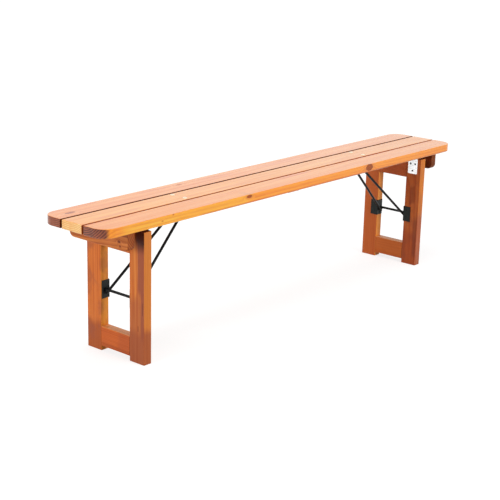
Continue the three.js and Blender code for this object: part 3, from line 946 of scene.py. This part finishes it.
def black_paint(name, dark, light, roughness, shine):
    paint = Finish(name)
    peel = paint.noise(paint.place, (420, 420, 420), detail=3)
    dust = paint.noise(paint.place, (60, 60, 60), detail=4)
    paint.set(
        Base_Color=paint.blend(paint.ease(dust, 0.35, 0.7), dark, light),
        Roughness=paint.ease(dust, 0.3, 0.7, *roughness), Specular_IOR_Level=shine,
    )
    paint.bump(peel, strength=0.12, distance=0.0002)
    return paint.material


plate_paint = black_paint("plate_black_paint", srgb(26, 31, 29), srgb(42, 47, 45), (0.4, 0.52), 0.2)
for word, side in both_sides:
    node = f"right_{word}_catch_plate"
    piece = cleaned_copy(node, node + "_angle")
    round_arrises(piece, catch_arris, steps=2)
    smooth(piece)
    at_both_ends(piece, plate_paint, "black_steel", "right_leg", node)
    for number, offset in enumerate((-catch_screw_offset, catch_screw_offset), 1):
        point = (catch_low.x, side * catch_middle.y, catch_middle.z + offset)
        piece = stand(copied(leaf_screw, f"right_{word}_catch_screw_{number}"), point, (-1, 0, 0))
        at_both_ends(piece, plate_paint, "black_steel", "right_leg")

# Braces: a cross rod and two diagonal rods of round steel bar, welded together and painted black. The upper
# ends of the diagonals are bent inwards and turn in the ears of a bracket under the middle plank.
cross_low, cross_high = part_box("right_brace_cross_rod")
rod_radius = (cross_high.z - cross_low.z) / 2
rod_arris = 0.0006
rod_bend = 0.0055
brace_tail = 0.01
weld_gap = 0.0003
brace_lap = 2 * rod_radius + weld_gap
brace_top = 0.017
plate_clearance = 0.0017
brace_foot = catch_low.y - plate_clearance - rod_radius
rod_tip = 0.0065
weld_bead = (0.0072, 0.0066, 0.005)
weld_ripple = 0.003
weld_relief = 0.0012
brace_swing = next(joint for joint in frame["joints"] if joint["name"] == "right_brace_swing")
brace_pivot = Vector(brace_swing["pos_m"])
to_cross_rod = (cross_low + cross_high) / 2 - brace_pivot
brace_length = math.sqrt(to_cross_rod.length_squared - brace_lap ** 2)
brace_angle = math.atan2(-to_cross_rod.z, to_cross_rod.x) + math.asin(brace_lap / to_cross_rod.length)
bracket_arris = 0.0004
rod_paint = black_paint("rod_black_paint", srgb(10, 12, 13), srgb(20, 23, 24), (0.24, 0.34), 0.16)
down_brace = Vector((math.cos(brace_angle), 0, -math.sin(brace_angle)))
off_brace = Vector((math.sin(brace_angle), 0, math.cos(brace_angle)))


def on_brace(along, across, off=0.0):
    return brace_pivot + down_brace * along + Vector((0, across, 0)) + off_brace * off


def bent_rod(name, tip, elbow, foot):
    """A round bar from tip to foot with one bend at the elbow."""
    first = (elbow - tip).normalized()
    second = (foot - elbow).normalized()
    turn = first.angle(second)
    hinge_line = first.cross(second).normalized()
    setback = rod_bend * math.tan(turn / 2)
    bend_centre = elbow - first * setback + hinge_line.cross(first) * rod_bend
    select_nothing()
    bpy.ops.mesh.primitive_circle_add(vertices=24, radius=rod_radius, fill_type="NGON")
    piece = stand(bpy.context.object, tip, first)
    piece.name = name
    bpy.ops.object.mode_set(mode="EDIT")
    bpy.ops.mesh.select_all(action="SELECT")
    straight = first * ((elbow - tip).length - setback)
    bpy.ops.mesh.extrude_region_move(TRANSFORM_OT_translate={"value": straight})
    bpy.ops.mesh.spin(steps=8, angle=-turn, center=bend_centre, axis=hinge_line)
    straight = second * ((foot - elbow).length - setback)
    bpy.ops.mesh.extrude_region_move(TRANSFORM_OT_translate={"value": straight})
    bpy.ops.mesh.select_all(action="SELECT")
    bpy.ops.mesh.remove_doubles(threshold=merge_distance / 10)
    bpy.ops.mesh.normals_make_consistent(inside=False)
    bpy.ops.object.mode_set(mode="OBJECT")
    return piece


select_nothing()
bpy.ops.mesh.primitive_ico_sphere_add(subdivisions=4, radius=1)
weld = bpy.context.object
weld.scale = weld_bead
settle()
ripples = bpy.data.textures.new("weld_ripples", "CLOUDS")
ripples.noise_scale = weld_ripple
finish_with(weld, "DISPLACE", texture=ripples, strength=weld_relief)
brace_end = brace_length + brace_tail
brace_spread = (brace_foot - brace_top) / brace_length
for word, side in both_sides:
    foot = on_brace(brace_end, side * (brace_top + brace_spread * brace_end))
    tip, elbow = on_brace(0, side * rod_tip), on_brace(0, side * brace_top)
    piece = bent_rod(f"right_brace_{word}_rod_bar", tip, elbow, foot)
    round_arrises(piece, rod_arris, steps=2)
    smooth(piece)
    at_both_ends(piece, rod_paint, "black_steel", "right_brace", f"right_brace_{word}_rod")
    point = on_brace(brace_length, side * brace_foot, brace_lap / 2)
    bead = stand(copied(weld, f"right_brace_{word}_weld"), point, off_brace)
    smooth(bead)
    at_both_ends(bead, rod_paint, "black_steel", "right_brace")

cross_end = cross_high.y
cross_shoulder = cross_end - rod_arris
cross_rod = turned(
    "right_brace_cross_rod_bar",
    [
        (-cross_end, rod_radius - rod_arris), (-cross_shoulder, rod_radius), (cross_shoulder, rod_radius),
        (cross_end, rod_radius - rod_arris),
    ],
)
stand(cross_rod, on_brace(brace_length, 0, brace_lap), (0, 1, 0))
smooth(cross_rod)
at_both_ends(cross_rod, rod_paint, "black_steel", "right_brace", "right_brace_cross_rod")

bracket = cleaned_copy("right_brace_bracket", "right_brace_bracket_channel")
round_arrises(bracket, bracket_arris, steps=2)
smooth(bracket)
at_both_ends(bracket, rod_paint, "black_steel", "seat", "right_brace_bracket")

# Bracket bolts: bright zinc-plated coach bolts, two at each end, down through the middle plank and the
# bracket, with hexagon nuts below.
bolt_radius = 0.003
bolt_end = 0.0024
bolt_chamfer = 0.0006
bolt_length = seat_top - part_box("right_rear_bracket_bolt")[0].z
shank_length = 0.028
thread_pitch = 0.001
thread_depth = 0.0004
thread_turns = 8
bolt_head = [
    (0, 0.0075), (0.0005, 0.0074), (0.0012, 0.007), (0.002, 0.0061), (0.0027, 0.0047), (0.0031, 0.0031),
    (0.0033, 0.0008),
]
nut_radius = 0.0057
nut_face = 0.0048
nut_chamfer = 0.0006
chamfer_radius = 0.0058
thread_rings = []
for number in range(thread_turns):
    height = bolt_chamfer - bolt_length + number * thread_pitch
    thread_rings += [(height, bolt_radius), (height + thread_pitch / 2, bolt_radius - thread_depth)]
bolt_shank = [(-shank_length, bolt_radius), (0, bolt_radius)]
bolt_rings = [(-bolt_length, bolt_end), *thread_rings, *bolt_shank, *bolt_head]
bright = Finish("bright_zinc_bolt")
tarnish = bright.noise(bright.place, (350, 350, 350), detail=3)
bright.set(
    Base_Color=bright.blend(bright.ease(tarnish, 0.35, 0.7), srgb(255, 240, 214), srgb(240, 226, 200)),
    Metallic=0.9, Roughness=bright.ease(tarnish, 0.3, 0.7, 0.22, 0.36),
)
bright.bump(tarnish, strength=0.06, distance=0.0001)

bolt = turned("bolt", bolt_rings, steps=32)
smooth(bolt)
nut_low, nut_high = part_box("right_rear_bracket_nut")
tall = nut_high.z - nut_low.z
nut = turned("nut", [(0, nut_radius), (tall, nut_radius)], steps=6)
lower, upper = (nut_chamfer, chamfer_radius), (tall - nut_chamfer, chamfer_radius)
combine(nut, turned("chamfers", [(0, nut_face), lower, upper, (tall, nut_face)], steps=48), "INTERSECT")
bore(nut, (0, 0, tall), (0, 0, 1), bolt_radius, tall + hair)
smooth(nut)
for word, side in both_sides:
    x, y = bolt_place.x, side * bolt_place.y
    piece = stand(copied(bolt, f"right_{word}_bracket_coach_bolt"), (x, y, seat_top), (0, 0, 1))
    at_both_ends(piece, bright.material, "bright_bolt", "seat", f"right_{word}_bracket_bolt")
    piece = stand(copied(nut, f"right_{word}_bracket_hexagon"), (x, y, nut_low.z), (0, 0, 1))
    at_both_ends(piece, bright.material, "bright_bolt", "seat", f"right_{word}_bracket_nut")

# Batten screws: zinc-plated wood screws with cross recesses. They are sunk in the counterbored holes of the
# end battens and flush in the cleat.
for end, way in both_ends:
    low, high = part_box(end + "_end_batten")
    for number, y in enumerate(end_batten_screws, 1):
        point = (way * batten_middle_x, y, low.z + screw_well_depth - head_depth)
        screw = stand(copied(leaf_screw, f"{end}_batten_screw_{number}"), point, (0, 0, -1))
        fit(screw, bright.material, "bright_bolt", "seat")
low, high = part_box("middle_batten")
for number, (x, y) in enumerate(cleat_screws, 1):
    screw = stand(copied(leaf_screw, f"cleat_screw_{number}"), (x, y, low.z), (0, 0, -1))
    fit(screw, bright.material, "bright_bolt", "seat")
for model in (leg_leaf, seat_leaf, leaf_screw, pin, weld, bolt, nut):
    bpy.data.objects.remove(model)

# Studio: a white sweep of floor that runs out of sight, white surroundings, and soft lamps to the left, in
# front and overhead. Floor and surroundings show as white, and the floor keeps the bench's faint shadow. The
# varnish mirrors the surroundings and not the lamps, as through a polarising filter.
white = (1, 1, 1, 1)
world_light = 0.4
floor_width = 80
floor_grey = 0.4
near_glow = 0.76
far_glow = 0.9
glow_reach = (1.5, 4)

# Each lamp has its place, what it is aimed at, its width and its power.
lamps = {
    "left_softbox": ((-4.2, 0.5, 1.0), (-0.8, 0, 0.3), 1.4, 70),
    "front_softbox": ((0.2, -4.8, 1.5), (-0.2, 0, 0.3), 2.0, 130),
    "overhead_softbox": ((-0.2, 0, 3.4), (0, 0, 0.4), 2.6, 44),
}


def seen_directly(tree):
    """1 for rays that show the surroundings to the eye, straight, mirrored or through glass, or else 0."""
    path = tree.nodes.new("ShaderNodeLightPath")
    total = path.outputs["Is Camera Ray"]
    for name in ("Is Glossy Ray", "Is Transmission Ray"):
        either = tree.nodes.new("ShaderNodeMath")
        either.operation = "MAXIMUM"
        tree.links.new(total, either.inputs[0])
        tree.links.new(path.outputs[name], either.inputs[1])
        total = either.outputs[0]
    return total


surroundings = bpy.data.worlds.new("white_studio")
surroundings.use_nodes = True
scene.world = surroundings
tree = surroundings.node_tree
lighting = tree.nodes["Background"]
lighting.inputs["Color"].default_value = white
lighting.inputs["Strength"].default_value = world_light
backdrop = tree.nodes.new("ShaderNodeBackground")
backdrop.inputs["Color"].default_value = white
backdrop.inputs["Strength"].default_value = 1
choice = tree.nodes.new("ShaderNodeMixShader")
tree.links.new(seen_directly(tree), choice.inputs["Fac"])
tree.links.new(lighting.outputs[0], choice.inputs[1])
tree.links.new(backdrop.outputs[0], choice.inputs[2])
tree.links.new(choice.outputs[0], tree.nodes["World Output"].inputs["Surface"])

select_nothing()
bpy.ops.mesh.primitive_plane_add(size=floor_width)
floor = bpy.context.object
floor.name = "studio_floor"
floor_finish = bpy.data.materials.new("white_floor")
floor_finish.use_nodes = True
tree = floor_finish.node_tree
tree.nodes.remove(tree.nodes["Principled BSDF"])
matt = tree.nodes.new("ShaderNodeBsdfDiffuse")
matt.inputs["Color"].default_value = (floor_grey, floor_grey, floor_grey, 1)
glow = tree.nodes.new("ShaderNodeEmission")
strength = tree.nodes.new("ShaderNodeMath")
strength.operation = "MULTIPLY"
floor_place = tree.nodes.new("ShaderNodeTexCoord")
from_bench = tree.nodes.new("ShaderNodeVectorMath")
from_bench.operation = "LENGTH"
falloff = tree.nodes.new("ShaderNodeMapRange")
for name, value in zip(("From Min", "From Max", "To Min", "To Max"), (*glow_reach, near_glow, far_glow)):
    falloff.inputs[name].default_value = value
tree.links.new(floor_place.outputs["Object"], from_bench.inputs[0])
tree.links.new(from_bench.outputs["Value"], falloff.inputs["Value"])
tree.links.new(falloff.outputs["Result"], strength.inputs[1])
tree.links.new(seen_directly(tree), strength.inputs[0])
tree.links.new(strength.outputs[0], glow.inputs["Strength"])
both = tree.nodes.new("ShaderNodeAddShader")
tree.links.new(matt.outputs[0], both.inputs[0])
tree.links.new(glow.outputs[0], both.inputs[1])
tree.links.new(both.outputs[0], tree.nodes["Material Output"].inputs["Surface"])
floor.data.materials.append(floor_finish)

for name, (place, target, width, power) in lamps.items():
    bpy.ops.object.light_add(type="AREA", location=place)
    lamp = bpy.context.object
    lamp.name = name
    lamp.data.shape = "DISK"
    lamp.data.size = width
    lamp.data.energy = power
    lamp.rotation_mode = "QUATERNION"
    lamp.rotation_quaternion = (Vector(place) - Vector(target)).to_track_quat("Z", "Y")
    lamp.visible_glossy = False

scene.view_settings.view_transform = "Standard"
